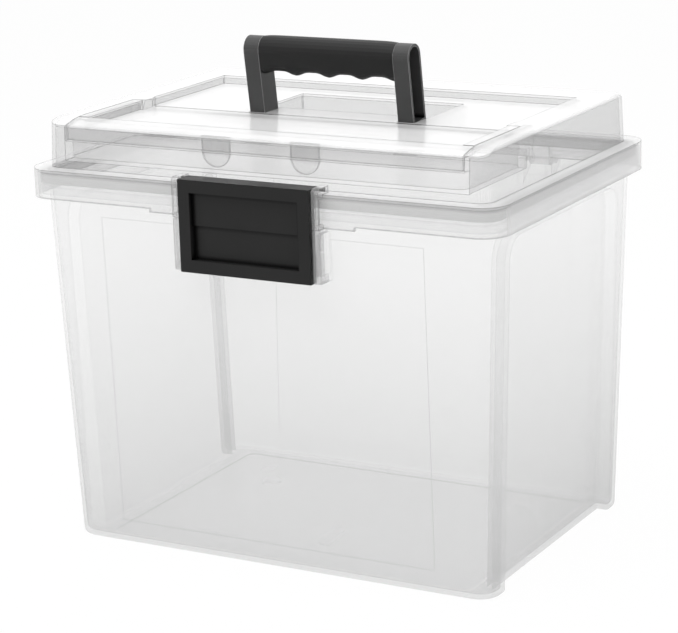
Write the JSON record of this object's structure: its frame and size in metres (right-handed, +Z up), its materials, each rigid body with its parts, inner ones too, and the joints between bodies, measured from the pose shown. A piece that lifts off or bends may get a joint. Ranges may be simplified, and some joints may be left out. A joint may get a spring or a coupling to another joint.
{
  "type": "portable file box",
  "caption": "Clear moulded box for hanging letter files, with a hinged, gasketed lid, covered organizer tray, fold-down handle and front latch.",
  "frame": {"origin": "centre of the base, on the surface the box stands on", "axes": "+Z up, +X along the long side to the right of the front latch, -Y towards the front latch"},
  "size_m": [0.35, 0.26, 0.3407],
  "materials": {
    "clear_tub": "clear polypropylene, slightly frosted",
    "clear_lid": "clear polypropylene, glossy",
    "gasket": "matt foam",
    "black_frame": "satin black plastic",
    "black_grip": "matt black soft plastic",
    "black_latch": "fine-grained black plastic"
  },
  "bodies": {
    "tub": {"box_body": "clear_tub"},
    "lid_assembly": {"lid": "clear_lid", "lid_gasket": "gasket"},
    "cover": {"organizer_cover": "clear_lid"},
    "handle": {"handle_frame": "black_frame", "handle_grip": "black_grip"},
    "latch_front": {"front_latch": "black_latch"}
  },
  "joints": [
    {"name": "lid_open", "type": "hinge", "parent": "tub", "child": "lid_assembly", "pos_m": [0, 0.126, 0.2396], "axis": [-1, 0, 0], "range_deg": [0, 100]},
    {"name": "front_latch_swing", "type": "hinge", "parent": "lid_assembly", "child": "latch_front", "pos_m": [0, -0.1168, 0.2636], "axis": [-1, 0, 0], "range_deg": [0, 100]},
    {"name": "handle_fold", "type": "hinge", "parent": "lid_assembly", "child": "handle", "pos_m": [0, -0.0015, 0.279], "axis": [-1, 0, 0], "range_deg": [0, 98]},
    {"name": "cover_open", "type": "hinge", "parent": "lid_assembly", "child": "cover", "pos_m": [0, -0.0185, 0.285], "axis": [-1, 0, 0], "range_deg": [0, 84]}
  ],
  "couplings": [
    {"joint": "front_latch_swing", "follows": "lid_open", "ratio": 1}
  ]
}
